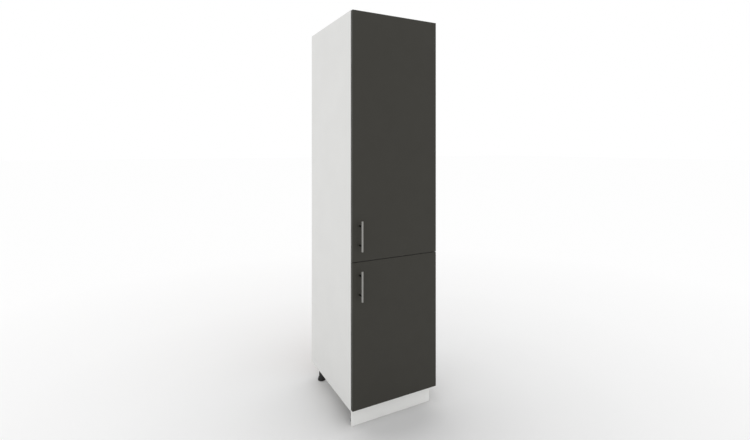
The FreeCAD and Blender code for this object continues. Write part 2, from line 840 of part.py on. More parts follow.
def wall_brackets():
    """Both wall brackets and their screws."""
    for name, x in zip(("left", "right"), bracket_xs()):
        save("wall_bracket_" + name, [wall_bracket(x)])
    seats = bracket_screw_seats()
    save("wall_bracket_screws", [pan_screw(seat, UP, bracket_screw_length()) for seat in seats])


def main():
    """Write every node of the cabinet."""
    os.makedirs("parts", exist_ok=True)
    save("side_panel_left", [side_panel(-1)])
    save("side_panel_right", [side_panel(1)])
    save("top_panel", [top_panel()])
    save("bottom_panel", [bottom_panel()])
    save("fixed_shelf", [fixed_shelf()])
    save("back_panel_joining_strip", [joining_strip()])
    back_panels()
    joint_fittings()
    shelves()
    hinges()
    door("upper", upper_door_z, upper_hinge_zs, upper_handle_z)
    door("lower", lower_door_z, lower_hinge_zs, lower_handle_z)
    legs()
    plinth()
    wall_brackets()


main()
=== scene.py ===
"""Finished looks of a tall pantry cabinet: foil boards, matt doors, steel handles, hinges and black legs."""

import json
import math

import bmesh
import bpy
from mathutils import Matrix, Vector

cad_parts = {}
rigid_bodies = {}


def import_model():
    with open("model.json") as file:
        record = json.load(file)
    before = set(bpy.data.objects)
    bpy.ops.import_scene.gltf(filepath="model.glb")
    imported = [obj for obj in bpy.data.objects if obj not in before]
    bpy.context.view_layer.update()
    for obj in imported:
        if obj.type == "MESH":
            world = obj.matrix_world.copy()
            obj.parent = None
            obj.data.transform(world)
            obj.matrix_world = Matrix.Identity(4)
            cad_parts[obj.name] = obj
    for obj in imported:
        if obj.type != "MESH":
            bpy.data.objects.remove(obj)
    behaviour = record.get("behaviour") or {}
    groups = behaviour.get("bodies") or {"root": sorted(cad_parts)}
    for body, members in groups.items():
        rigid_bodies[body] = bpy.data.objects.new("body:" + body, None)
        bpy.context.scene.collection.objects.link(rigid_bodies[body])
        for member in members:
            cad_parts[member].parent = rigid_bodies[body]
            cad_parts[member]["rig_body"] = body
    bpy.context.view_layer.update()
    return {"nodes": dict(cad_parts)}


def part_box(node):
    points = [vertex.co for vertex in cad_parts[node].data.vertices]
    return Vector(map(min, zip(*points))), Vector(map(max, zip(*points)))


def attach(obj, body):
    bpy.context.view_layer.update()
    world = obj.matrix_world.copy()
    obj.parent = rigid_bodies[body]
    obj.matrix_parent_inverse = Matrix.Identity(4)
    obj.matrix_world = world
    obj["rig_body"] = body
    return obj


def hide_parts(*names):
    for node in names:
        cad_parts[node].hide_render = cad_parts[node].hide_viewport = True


bl_info = {
    "name": "Tall pantry cabinet",
    "version": (1, 0, 0),
    "blender": (4, 5, 0),
    "location": "View3D > Sidebar > Cabinet",
    "description": "Builds the finished looks of a tall cabinet with two doors on its packed frame",
    "category": "Object",
}

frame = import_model()
NODES = frame["nodes"]

# Pieces that come in sets
DOORS = ("upper", "lower")
SIDES = ("left", "right")
LEGS = ("front_left", "front_right", "back_left", "back_right")
SHELVES = ("shelf_upper_1", "shelf_upper_2", "shelf_upper_3", "shelf_lower")

# Ways that faces look and screws go
RIGHT = (1, 0, 0)
FRONT = (0, -1, 0)
BACK = (0, 1, 0)
UP = (0, 0, 1)
DOWN = (0, 0, -1)

# Tolerances of the shapes, in metres and radians
WELD = 2e-6
MERGE = 1e-6
ON_SIDE = 2e-5
FLAT = math.radians(0.4)
SHARP = math.radians(38)

# Least share of a normal along an axis, for a square face and for one that looks that way
SQUARE = 0.999
FACING = 0.9

# Reach of a rounded edge from the sides of its board, in roundings
RIM_REACH = 1.5

# Sides and steps of round shapes
TURNED_SIDES = 64
DOT_SIDES = 32
HEAD_SIDES = 24
SHANK_SIDES = 16
STEM_SIDES = 48
THREAD_STEPS = 32
THREAD_SIDES = 6
ROUNDING_STEPS = 6
DOME_STEPS = 9
FLARE_STEPS = 8
CORNER_STEPS = 4

# Head height, crown height and shank radius of each kind of screw, in metres
SMALL_SCREW = (0.002, 0.0011, 0.0015)
ARM_SCREW = (0.002, 0.0011, 0.0017)
HANDLE_SCREW = (0.0024, 0.0013, 0.002)

# Crown height and recess width of the cam locks, which have no shank, and the deepest recess of any head
CAM_CROWN = 0.0005
CAM_RECESS = 0.0016
DEEPEST_RECESS = 0.0018

# Shares of a head's radius, and of its height for the recess
SHOULDER = 0.86
FLAT_TOP = 0.58
RECESS_REACH = 1.04
RECESS_SHARE = 0.6

# Shelf pins in metres: reach of the pad, rounding of its corners, and radius of the peg
PAD_REACH = 0.008
PAD_CORNER = 0.0012
PEG_RADIUS = 0.0025

# Leg sockets in metres: radius of the tube, length of its ribs, and how far below the top their middle is
TUBE = 0.015
GRIP = 0.020
GRIP_DROP = 0.0135

# Width and height of the ribs on sockets and feet, in metres
RIB = 0.0016

# Feet in metres: the rim, the flare from it up to the neck, and the stem that starts inside the neck
RIM = 0.004
RIM_ROUNDING = 0.0008
FLARE_INSET = 0.0005
FLARE_TOP = 0.024
NECK = 0.015
CHAMFER = 0.0006
STEM = 0.010
STEM_SINK = 0.0015

# Power by which the flare bows inwards, and share of its slope that a rib covers
BOW = 1.3
RIB_SHARE = 0.7

# Range that most of a soft random pattern lies in
MOST = (0.3, 0.7)

# Bare boards: chips per metre along each axis, roughness of chips and fibres, and scale of the screen's print
CHIPS = (260, 260, 620)
CHIP_ROUGH = 0.92
FIBRE_ROUGH = 0.86
SCREEN_SCALE = 120.0

# Sockets of a mix node for numbers and for colours: first value, second value and result
MIX_SOCKETS = {"FLOAT": (2, 3, 0), "RGBA": (6, 7, 2)}

# Painted shadow round the cabinet: brightness of the floor by its distance from the cabinet in metres, darker
# near it, and that distance's shift and scale
FLOOR_SHADE = ((0.0, 0.76), (0.2, 0.77), (0.33, 0.87), (0.5, 0.922),
               (0.85, 0.988), (1.4, 1.05), (2.2, 1.1), (4.0, 1.15))
SHADE_SHIFT = (0.0, 0.23, 0.0)
SHADE_SCALE = (1.0, 1.15, 1.0)

# Half the floor's width, and the lamp's width, place and target, in metres
FLOOR_HALF = 60.0
LAMP_WIDTH = 3.0
LAMP_PLACE = (-2.2, -3.0, 4.2)
LAMP_TARGET = (0.0, 0.0, 1.1)

# Width of the camera's sensor in millimetres
SENSOR = 36.0


# Settings that a user would change

def colour_setting(name, description, default):
    """A colour setting with its default."""
    return bpy.props.FloatVectorProperty(name=name, description=description, subtype="COLOR",
                                         min=0.0, max=1.0, default=default)


def length_setting(name, description, default):
    """A length setting in metres with its default."""
    return bpy.props.FloatProperty(name=name, description=description, unit="LENGTH",
                                   min=0.0, precision=5, default=default)


class CABINET_PG_boards(bpy.types.PropertyGroup):
    """Finishes of the boards and sheets."""
    white: colour_setting("White foil", "Colour of the carcass and the shelves", (0.712, 0.712, 0.698))
    # Painted light: the plinth's foil is the carcass foil made lighter, to make up for the shade under the
    # doors
    plinth: colour_setting("Plinth foil", "Colour of the plinth", (0.84, 0.84, 0.825))
    dark: colour_setting("Dark foil", "Colour of the two doors", (0.0378, 0.036, 0.0298))
    sheet: colour_setting("Sheet lacquer", "Colour of the back sheets seen from inside", (0.74, 0.74, 0.73))
    fibre: colour_setting("Hardboard", "Colour of the bare rear of the back sheets", (0.21, 0.115, 0.058))
    chip: colour_setting("Chipboard", "Colour of bare core in holes and on edges", (0.52, 0.36, 0.20))
    beech: colour_setting("Beech", "Colour of the dowels", (0.58, 0.39, 0.22))
    edge: length_setting("Edge rounding", "Rounding of the boards' outer edges", 0.0006)


class CABINET_PG_metals(bpy.types.PropertyGroup):
    """Finishes of the handles, hinges and fasteners."""
    steel: colour_setting("Handle steel", "Colour of the brushed bar handles", (0.31, 0.305, 0.29))
    # Painted shade: the posts' steel is made near black to stand for the shadow and dark reflections on them
    post: colour_setting("Handle posts", "Colour of the blackened posts", (0.034, 0.034, 0.033))
    nickel: colour_setting("Nickel", "Colour of the hinges and the shelf pins", (0.66, 0.64, 0.60))
    zinc: colour_setting("Zinc", "Colour of the screws, cams, bolts and brackets", (0.62, 0.63, 0.65))
    edge: length_setting("Edge rounding", "Rounding of stamped and cast edges", 0.00018)
    bracket_edge: length_setting("Bracket edge rounding", "Rounding of the wall brackets' edges", 0.00036)
    bar_end: length_setting("Bar end rounding", "Rounding of the ends of the handle bars", 0.0009)
    recess: length_setting("Recess width", "Width of the cross in a screw's head", 0.0009)
    seed: bpy.props.IntProperty(name="Screw seed", description="Chooses how far each screw was turned",
                                default=7)


class CABINET_PG_plastics(bpy.types.PropertyGroup):
    """Finishes of the legs, clips, strips and dots."""
    black: colour_setting("Black plastic", "Colour of the legs and the plinth clips", (0.014, 0.014, 0.015))
    white: colour_setting("White plastic", "Colour of the joining strip and the seal", (0.85, 0.85, 0.84))
    dot: colour_setting("Dot", "Colour of the soft door dots", (0.80, 0.80, 0.78))
    edge: length_setting("Edge rounding", "Rounding of moulded edges", 0.0004)
    thin_edge: length_setting("Thin edge rounding", "Rounding of the joining strip's edges", 0.0002)
    pitch: length_setting("Thread pitch", "Rise of the feet's thread in one turn", 0.004)
    thread: length_setting("Thread depth", "Depth of the feet's thread", 0.0008)
    ribs: bpy.props.IntProperty(name="Grip ribs", description="Ribs round each foot and socket",
                                min=3, default=12)


class CABINET_PG_stage(bpy.types.PropertyGroup):
    """Floor, light and camera."""
    # The floor's shading is a painted shadow round the cabinet, set by FLOOR_SHADE
    floor: colour_setting("Floor", "Colour of the floor, before its shading", (0.86, 0.86, 0.86))
    sky: bpy.props.FloatProperty(name="Sky", description="Strength of the even white light",
                                 min=0.0, default=1.0)
    lamp: bpy.props.FloatProperty(name="Lamp", description="Power of the large soft lamp", unit="POWER",
                                  default=4.0)
    eye: bpy.props.FloatVectorProperty(name="Camera", description="Place of the camera", subtype="XYZ",
                                       unit="LENGTH", default=(-1.134, -2.1954, 1.3895))
    aim: bpy.props.FloatVectorProperty(name="Aim", description="Direction of the camera", subtype="DIRECTION",
                                       default=(0.46835, 0.88354, 0.0))
    lens: bpy.props.FloatProperty(name="Lens", description="Focal length of the camera", unit="CAMERA",
                                  default=20.719)
    shift: bpy.props.FloatVectorProperty(name="Shift", description="Sideways and upward shift of the lens",
                                         size=2, default=(-0.00179, -0.09577))


def boards():
    """Board settings of this scene."""
    return bpy.context.scene.cabinet_boards


def metals():
    """Metal settings of this scene."""
    return bpy.context.scene.cabinet_metals


def plastics():
    """Plastic settings of this scene."""
    return bpy.context.scene.cabinet_plastics


# Nodes

def fill(tree, node, inputs):
    """Give a node its inputs, as values or as sockets to link from."""
    for key, value in inputs.items():
        if isinstance(value, bpy.types.NodeSocket):
            tree.links.new(value, node.inputs[key])
        else:
            node.inputs[key].default_value = value


def add(tree, kind, settings=None, inputs=None):
    """One node with its settings and its inputs."""
    node = tree.nodes.new(kind)
    for key, value in (settings or {}).items():
        setattr(node, key, value)
    fill(tree, node, inputs or {})
    return node


def result(tree, kind, settings=None, inputs=None, output=0):
    """An output of one new node."""
    return add(tree, kind, settings, inputs).outputs[output]


def calc(tree, operation, a, b):
    """Result of one sum of two numbers or sockets."""
    return result(tree, "ShaderNodeMath", {"operation": operation}, {0: a, 1: b})


# Finishes

def new_finish(name):
    """An empty finish: material, tree, shader, and where each point is in metres."""
    finish = bpy.data.materials.new(name)
    finish.use_nodes = True
    tree = finish.node_tree
    tree.nodes.clear()
    shader = add(tree, "ShaderNodeBsdfPrincipled")
    add(tree, "ShaderNodeOutputMaterial", inputs={"Surface": shader.outputs["BSDF"]})
    return finish, tree, shader, result(tree, "ShaderNodeTexCoord", output="Object")


def tone(colour, share):
    """A colour made darker or lighter."""
    return tuple(min(1.0, c * share) for c in colour)


def noise(tree, place, scale=1.0, detail=2.0, stretch=(1, 1, 1)):
    """Soft random pattern, scaled per metre and stretched along the axes."""
    spot = result(tree, "ShaderNodeMapping", inputs={"Vector": place, "Scale": stretch})
    return result(tree, "ShaderNodeTexNoise", inputs={"Vector": spot, "Scale": scale, "Detail": detail})


def ramp(tree, factor, stops):
    """Colour from a number, through stops of (place, colour)."""
    node = add(tree, "ShaderNodeValToRGB", inputs={"Fac": factor})
    elements = node.color_ramp.elements
    while len(elements) < len(stops):
        elements.new(1.0)
    for element, (position, colour) in zip(elements, stops):
        element.position = position
        element.color = (*colour, 1.0)
    return node.outputs["Color"]


def span(tree, factor, onto, over=(0.0, 1.0)):
    """A number that runs over one range, moved onto another."""
    values = {"Value": factor, "From Min": over[0], "From Max": over[1], "To Min": onto[0], "To Max": onto[1]}
    return result(tree, "ShaderNodeMapRange", inputs=values)


def mix(tree, kind, factor, first, second):
    """Value of one kind between two others."""
    a, b, output = MIX_SOCKETS[kind]
    return result(tree, "ShaderNodeMix", {"data_type": kind}, {0: factor, a: first, b: second}, output)


def blend(tree, factor, first, second):
    """Colour between two others."""
    first, second = (c if isinstance(c, bpy.types.NodeSocket) else (*c, 1.0) for c in (first, second))
    return mix(tree, "RGBA", factor, first, second)


def mark(tree, name):
    """The share, 0 to 1, that a face was marked with."""
    return result(tree, "ShaderNodeAttribute", {"attribute_name": name}, output="Fac")


def relief(tree, height, depth, below=None):
    """Surface normal of a relief of the given depth, on top of another."""
    values = {"Height": height, "Distance": depth, "Strength": 1.0}
    if below:
        values["Normal"] = below
    return result(tree, "ShaderNodeBump", inputs=values)


def chip_layer(tree, place):
    """Colour and height of bare chipboard: pressed flakes with dark gaps."""
    grid = result(tree, "ShaderNodeMapping", inputs={"Vector": place, "Scale": CHIPS})
    flakes = add(tree, "ShaderNodeTexVoronoi", inputs={"Vector": grid, "Scale": 1.0})
    height = flakes.outputs["Distance"]
    chip = boards().chip
    colour = ramp(tree, flakes.outputs["Color"], [(0.1, tone(chip, 0.38)), (0.35, tone(chip, 0.8)),
                                                  (0.6, chip), (0.9, tone(chip, 1.35))])
    gaps = span(tree, height, onto=(1.0, 0.45), over=(0.35, 0.95))
    dust = span(tree, noise(tree, place, scale=2400, detail=3), onto=(0.8, 1.15))
    return blend(tree, calc(tree, "MULTIPLY", gaps, dust), tone(chip, 0.3), colour), height


def foil(name, colour, rough=0.42, wear=0.9, specular=0.35):
    """Pressed foil on chipboard: pearl relief, faint clouds, rubbed edges, and bare chips where it is cut."""
    finish, tree, shader, place = new_finish(name)
    clouds = noise(tree, place, scale=4.5, detail=4)
    pearl = noise(tree, place, scale=1500, detail=3)
    skin = ramp(tree, clouds, [(0.32, tone(colour, 0.985)), (0.68, tone(colour, 1.01))])
    specks = span(tree, pearl, onto=(0.0, 0.10), over=(0.55, 0.75))
    skin = blend(tree, specks, skin, tone(colour, 1.25))
    patches = span(tree, noise(tree, place, scale=90, detail=5), onto=(0.1, 0.75), over=(0.4, 0.7))
    skin = blend(tree, calc(tree, "MULTIPLY", mark(tree, "rim"), patches), skin, tone(colour, wear))
    raw = mark(tree, "raw")
    chips, gaps = chip_layer(tree, place)
    smear = span(tree, noise(tree, place, scale=14, detail=5), onto=(rough - 0.05, rough + 0.06), over=MOST)
    normal = relief(tree, pearl, depth=0.00004)
    normal = relief(tree, calc(tree, "MULTIPLY", raw, gaps), depth=0.0005, below=normal)
    fill(tree, shader, {"Base Color": blend(tree, raw, skin, chips), "Normal": normal,
                        "Roughness": mix(tree, "FLOAT", raw, smear, CHIP_ROUGH),
                        "Specular IOR Level": specular})
    return finish


def white_foil():
    """White foil of the carcass and the shelves."""
    return foil("white_foil", boards().white)


def plinth_foil():
    """White foil of the plinth, painted lighter than the carcass foil to make up for the shade under the
    doors.
    """
    return foil("plinth_foil", boards().plinth)


def dark_foil():
    """Dark grey matt foil of the doors."""
    return foil("dark_foil", boards().dark, rough=0.52, wear=1.35, specular=0.22)


def hardboard():
    """Back sheet: smooth white lacquer inside, bare fibres with a screen's print behind."""
    finish, tree, shader, place = new_finish("hardboard")
    brown, pale = boards().fibre, boards().sheet
    fibre = noise(tree, place, scale=230, detail=8, stretch=(1, 1, 1.6))
    flecks = noise(tree, place, scale=1100, detail=4, stretch=(2.5, 1, 1))
    bare = ramp(tree, fibre, [(0.3, tone(brown, 0.82)), (0.55, brown), (0.8, tone(brown, 1.2))])
    bare = blend(tree, span(tree, flecks, onto=(0.0, 0.5), over=(0.52, 0.75)), bare, tone(brown, 1.9))
    across, upward = (result(tree, "ShaderNodeTexWave", {"bands_direction": axis},
                             {"Vector": place, "Scale": SCREEN_SCALE}, "Fac") for axis in "XZ")
    raw = mark(tree, "raw")
    screen = calc(tree, "MULTIPLY", raw, calc(tree, "MULTIPLY", across, upward))
    clouds = noise(tree, place, scale=5, detail=4)
    lacquer = ramp(tree, clouds, [(0.3, tone(pale, 0.96)), (0.7, pale)])
    peel = noise(tree, place, scale=380)
    gloss = span(tree, peel, onto=(0.34, 0.46))
    normal = relief(tree, screen, depth=0.0003, below=relief(tree, peel, depth=0.00005))
    fill(tree, shader, {"Base Color": blend(tree, raw, lacquer, bare), "Normal": normal,
                        "Roughness": mix(tree, "FLOAT", raw, gloss, FIBRE_ROUGH)})
    return finish


def metal(name, colour, rough, stretch, depth, drift):
    """Metal with fine lines or grains in its colour, gloss and relief, and slow drifts of handling."""
    finish, tree, shader, place = new_finish(name)
    lines = noise(tree, place, detail=5, stretch=stretch)
    clouds = noise(tree, place, scale=60, detail=4)
    skin = ramp(tree, lines, [(0.3, tone(colour, 1.0 - drift)), (0.7, tone(colour, 1.0 + drift / 2))])
    skin = blend(tree, span(tree, clouds, onto=(0.0, 0.2), over=(0.5, 0.8)), skin, tone(colour, 0.85))
    gloss = calc(tree, "ADD", span(tree, lines, onto=rough, over=MOST),
                 span(tree, clouds, onto=(-0.02, 0.03), over=MOST))
    fill(tree, shader, {"Base Color": skin, "Roughness": gloss, "Normal": relief(tree, lines, depth),
                        "Metallic": 1.0})
    return finish


def brushed_steel():
    """Handle steel, brushed along the bar."""
    return metal("brushed_steel", metals().steel, rough=(0.24, 0.42), stretch=(2600, 2600, 26),
                 depth=0.00002, drift=0.14)


def blackened_steel():
    """Steel of the handle posts, turned across, painted near black as shade: it stands for the shadow and
    dark reflections on the posts.
    """
    return metal("blackened_steel", metals().post, rough=(0.36, 0.5), stretch=(300, 1900, 300),
                 depth=0.00001, drift=0.1)


def nickel_plate():
    """Nickel on stamped and cast hinge parts."""
    return metal("nickel_plate", metals().nickel, rough=(0.2, 0.26), stretch=(1400, 1400, 1400),
                 depth=0.000003, drift=0.05)


def zinc_plate():
    """Zinc on screws, cams, bolts and brackets."""
    return metal("zinc_plate", metals().zinc, rough=(0.32, 0.44), stretch=(900, 900, 900),
                 depth=0.000008, drift=0.08)


def moulded(name, colour, rough, stretch):
    """Moulded or drawn plastic with a fine grained skin and dull scuffs."""
    finish, tree, shader, place = new_finish(name)
    grain = noise(tree, place, detail=3, stretch=stretch)
    scuffs = noise(tree, place, scale=45, detail=6)
    skin = ramp(tree, scuffs, [(0.35, tone(colour, 0.9)), (0.6, colour), (0.85, tone(colour, 1.5))])
    gloss = calc(tree, "ADD", span(tree, grain, onto=(rough - 0.06, rough + 0.06), over=MOST),
                 span(tree, scuffs, onto=(-0.05, 0.12), over=(0.35, 0.8)))
    fill(tree, shader, {"Base Color": skin, "Roughness": gloss, "Normal": relief(tree, grain, depth=0.00005),
                        "Specular IOR Level": 0.45})
    return finish


def black_plastic():
    """Black plastic of the legs and the clips."""
    return moulded("black_plastic", plastics().black, rough=0.46, stretch=(1300, 1300, 1300))


def white_plastic():
    """White plastic of the strips, with drawing lines along them."""
    return moulded("white_plastic", plastics().white, rough=0.4, stretch=(6, 900, 900))


def soft_dot():
    """Clear soft plastic of the door dots."""
    finish, tree, shader, place = new_finish("soft_dot")
    haze = noise(tree, place, scale=700, detail=3)
    skin = ramp(tree, haze, [(0.3, tone(plastics().dot, 0.9)), (0.7, plastics().dot)])
    fill(tree, shader, {"Base Color": skin, "Roughness": span(tree, haze, onto=(0.22, 0.36)),
                        "Transmission Weight": 0.55, "IOR": 1.48})
    return finish


def beech():
    """Raw beech of the dowels, with grain along them and short dark flecks."""
    finish, tree, shader, place = new_finish("beech")
    grain = noise(tree, place, detail=6, stretch=(40, 700, 700))
    flecks = noise(tree, place, stretch=(260, 1900, 1900))
    wood = boards().beech
    skin = ramp(tree, grain, [(0.3, tone(wood, 0.75)), (0.7, tone(wood, 1.1))])
    skin = blend(tree, span(tree, flecks, onto=(0.0, 0.6), over=(0.62, 0.75)), skin, tone(wood, 0.5))
    fill(tree, shader, {"Base Color": skin, "Roughness": span(tree, grain, onto=(0.6, 0.8)),
                        "Normal": relief(tree, grain, depth=0.00008)})
    return finish


def finish_of(make):
    """The finish that a function makes, made once."""
    return bpy.data.materials.get(make.__name__) or make()


# Shapes

def welded(node):
    """Shape of a CAD node with its loose triangles joined and its flat areas merged."""
    shape = bmesh.new()
    source = NODES[node].data
    corners = [shape.verts.new(v.co) for v in source.vertices]
    for triangle in source.polygons:
        shape.faces.new([corners[i] for i in triangle.vertices])
    bmesh.ops.remove_doubles(shape, verts=shape.verts[:], dist=WELD)
    bmesh.ops.dissolve_limit(shape, angle_limit=FLAT, verts=shape.verts[:], edges=shape.edges[:])
    return shape


def solids_in(node):
    """Lowest and highest corner of every separate solid in a node."""
    shape = welded(node)
    waiting = set(shape.verts)
    found = []
    while waiting:
        reach = [waiting.pop()]
        group = []
        while reach:
            vert = reach.pop()
            group.append(vert.co.copy())
            near = {edge.other_vert(vert) for edge in vert.link_edges} & waiting
            waiting -= near
            reach += near
        found.append(tuple(Vector(f(p[i] for p in group) for i in range(3)) for f in (min, max)))
    shape.free()
    return sorted(found, key=lambda box: tuple(box[0]))


def round_off(shape, edges, width):
    """Round the given edges."""
    bmesh.ops.bevel(shape, geom=edges, offset=width, offset_type="OFFSET", segments=2, profile=0.5,
                    affect="EDGES", clamp_overlap=False)


def sides_met(point, low, high, reach):
    """How many sides of a box a point lies on."""
    return sum(abs(point[i] - low[i]) < reach or abs(point[i] - high[i]) < reach for i in range(3))


def outline_edges(shape, low, high):
    """Edges along the twelve outer edges of a board."""
    return [e for e in shape.edges if sides_met((e.verts[0].co + e.verts[1].co) / 2, low, high, ON_SIDE) > 1]


def sharp_edges(shape):
    """Outward edges that a maker would break."""
    return [e for e in shape.edges if e.is_manifold and e.is_convex and e.calc_face_angle() > SHARP]


def put_on(piece, node):
    """Let a piece stand for a CAD node and ride on its body."""
    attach(piece, NODES[node]["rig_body"])
    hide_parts(node)
    return piece


def as_piece(shape, name, finish):
    """An object of a shape, in place and at the origin."""
    mesh = bpy.data.meshes.new(name)
    shape.to_mesh(mesh)
    shape.free()
    mesh.materials.append(finish)
    piece = bpy.data.objects.new(name, mesh)
    bpy.context.scene.collection.objects.link(piece)
    return piece


def shade_round(piece):
    """Smooth shading that keeps sharp edges and flat faces."""
    for face in piece.data.polygons:
        face.use_smooth = True
    piece.data.set_sharp_from_angle(angle=SHARP)
    piece.modifiers.new("flat_faces", "WEIGHTED_NORMAL").keep_sharp = True


def mark_faces(mesh, name, shares):
    """Mark every face of a mesh with a share between 0 and 1."""
    layer = mesh.attributes.new(name, "FLOAT", "FACE")
    layer.data.foreach_set("value", shares)


def board(node, make, bare=()):
    """A board with rounded outer edges, marked where its core shows and where its edges are rubbed."""
    low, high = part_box(node)
    shape = welded(node)
    round_off(shape, outline_edges(shape, low, high), boards().edge)
    piece = as_piece(shape, "finished_" + node, finish_of(make))
    raw, rim = [], []
    for face in piece.data.polygons:
        met = sides_met(face.center, low, high, boards().edge * RIM_REACH)
        square = max(abs(c) for c in face.normal) > SQUARE
        face.use_smooth = not square
        raw.append(float(met == 0 or any(face.normal.dot(way) > FACING for way in bare)))
        rim.append(float(met > 1 and not square))
    mark_faces(piece.data, "raw", raw)
    mark_faces(piece.data, "rim", rim)
    return put_on(piece, node)


def fitting(node, make, width):
    """A small fitting with its outward edges broken."""
    shape = welded(node)
    round_off(shape, sharp_edges(shape), width)
    piece = as_piece(shape, "finished_" + node, finish_of(make))
    shade_round(piece)
    return put_on(piece, node)


def turned(shape, profile, base, axis, sides):
    """Add a turned solid to a shape: profile is (radius, height) from one end to the other."""
    spin = Vector(axis).to_track_quat("Z", "Y")
    rings = []
    for radius, height in profile:
        turns = [2 * math.pi * k / sides for k in range(sides if radius > 0 else 1)]
        points = [Vector((radius * math.cos(a), radius * math.sin(a), height)) for a in turns]
        rings.append([shape.verts.new(base + spin @ point) for point in points])
    for lower, upper in zip(rings, rings[1:]):
        for k in range(sides):
            corners = [lower[k % len(lower)], lower[(k + 1) % len(lower)],
                       upper[(k + 1) % len(upper)], upper[k % len(upper)]]
            shape.faces.new(list(dict.fromkeys(corners)))
    bmesh.ops.recalc_face_normals(shape, faces=shape.faces[:])


def quarter_turn(steps):
    """Angles from nothing to a right angle."""
    return [math.pi / 2 * k / steps for k in range(steps + 1)]


def soft_end(radius, height, curve, way):
    """Rounded rim at one end of a turned solid, listed from the axis outwards."""
    arc = [(radius - curve + curve * math.sin(a), height - way * curve * (1 - math.cos(a)))
           for a in quarter_turn(ROUNDING_STEPS)]
    return [(0.0, height)] + arc


# Geometry Nodes

def new_tree(name, sizes):
    """A tree with a named input for each size, and the sockets that give them."""
    tree = bpy.data.node_groups.new(name, "GeometryNodeTree")
    tree.interface.new_socket("Geometry", in_out="OUTPUT", socket_type="NodeSocketGeometry")
    tree.interface.new_socket("Geometry", in_out="INPUT", socket_type="NodeSocketGeometry")
    for label, value in sizes.items():
        kind = {int: "NodeSocketInt", float: "NodeSocketFloat"}.get(type(value), "NodeSocketMaterial")
        tree.interface.new_socket(label, in_out="INPUT", socket_type=kind)
    return tree, tree.nodes.new("NodeGroupInput").outputs


def vector(tree, **parts):
    """A vector from its parts along X, Y and Z."""
    return result(tree, "ShaderNodeCombineXYZ", inputs=parts)


def moved(tree, geometry, up):
    """Geometry moved along its own axis."""
    values = {"Geometry": geometry, "Translation": vector(tree, Z=up)}
    return result(tree, "GeometryNodeTransform", inputs=values)


def joined(tree, parts):
    """Several geometries as one."""
    node = add(tree, "GeometryNodeJoinGeometry")
    for part in parts:
        tree.links.new(part, node.inputs[0])
    return node.outputs[0]


def rod(tree, radius, length, start, sides):
    """Round rod that goes up from a height."""
    values = {"Vertices": sides, "Radius": radius, "Depth": length}
    middle = calc(tree, "ADD", start, calc(tree, "MULTIPLY", length, 0.5))
    return moved(tree, result(tree, "GeometryNodeMeshCylinder", inputs=values), middle)


def swept(tree, path, outline):
    """Closed solid of an outline that follows a path."""
    values = {"Curve": path, "Profile Curve": outline, "Fill Caps": True}
    return result(tree, "GeometryNodeCurveToMesh", inputs=values)


def set_out(tree, source, shape, seed):
    """Copies of a shape at the points, along each point's way, with a random turn if there is a seed."""
    way = result(tree, "GeometryNodeInputNamedAttribute", {"data_type": "FLOAT_VECTOR"}, {"Name": "way"})
    turn = result(tree, "FunctionNodeAlignRotationToVector", {"axis": "Z"}, {"Vector": way})
    if seed:
        # Input 3 is the highest number, and output 1 is the number drawn
        values = {"Seed": seed, 3: 2 * math.pi}
        angle = result(tree, "FunctionNodeRandomValue", {"data_type": "FLOAT"}, values, 1)
        spin = result(tree, "FunctionNodeAxisAngleToRotation", inputs={"Angle": angle})
        turn = result(tree, "FunctionNodeRotateRotation", {"rotation_space": "LOCAL"}, {0: turn, 1: spin})
    values = {"Points": source["Geometry"], "Instance": shape, "Rotation": turn}
    return result(tree, "GeometryNodeInstanceOnPoints", inputs=values)


def close_tree(tree, source, shape, seed=None):
    """End a tree with real copies of its shape at the points, in its finish."""
    copies = set_out(tree, source, shape, seed)
    real = result(tree, "GeometryNodeRealizeInstances", inputs={"Geometry": copies})
    dressed = result(tree, "GeometryNodeSetMaterial", inputs={"Geometry": real, "Material": source["Finish"]})
    add(tree, "NodeGroupOutput", inputs={0: dressed})
    return tree


def cone_wall(tree, low, high, height, start):
    """Open wall of a turned step, from one radius to another."""
    values = {"Vertices": HEAD_SIDES, "Radius Bottom": low, "Radius Top": high, "Depth": height}
    return moved(tree, result(tree, "GeometryNodeMeshCone", {"fill_type": "NONE"}, values), start)


def crowned_head(tree, source):
    """Closed screw head with a straight rim, two slopes and a flat top."""
    radius, height, crown = (source[key] for key in ("Head Radius", "Head Height", "Crown Height"))
    shoulder = calc(tree, "MULTIPLY", radius, SHOULDER)
    flat = calc(tree, "MULTIPLY", radius, FLAT_TOP)
    rim = calc(tree, "SUBTRACT", height, crown)
    half = calc(tree, "MULTIPLY", crown, 0.5)
    walls = [cone_wall(tree, radius, radius, rim, 0.0), cone_wall(tree, radius, shoulder, half, rim),
             cone_wall(tree, shoulder, flat, half, calc(tree, "ADD", rim, half))]
    top, base = (result(tree, "GeometryNodeMeshCircle", {"fill_type": "NGON"},
                        {"Vertices": HEAD_SIDES, "Radius": size}) for size in (flat, radius))
    base = result(tree, "GeometryNodeFlipFaces", inputs={"Mesh": base})
    head = joined(tree, walls + [moved(tree, top, height), base])
    return result(tree, "GeometryNodeMergeByDistance", inputs={"Geometry": head, "Distance": MERGE})


def cross_recess(tree, source, head):
    """A head with a cross cut into its top."""
    reach = calc(tree, "MULTIPLY", source["Head Radius"], RECESS_REACH)
    deep = calc(tree, "MULTIPLY", source["Recess Depth"], 2.0)
    cut = add(tree, "GeometryNodeMeshBoolean", {"operation": "DIFFERENCE", "solver": "EXACT"},
              {"Mesh 1": head})
    for x, y in ((reach, source["Recess Width"]), (source["Recess Width"], reach)):
        blade = result(tree, "GeometryNodeMeshCube", inputs={"Size": vector(tree, X=x, Y=y, Z=deep)})
        tree.links.new(moved(tree, blade, source["Head Height"]), cut.inputs["Mesh 2"])
    return cut.outputs[0]


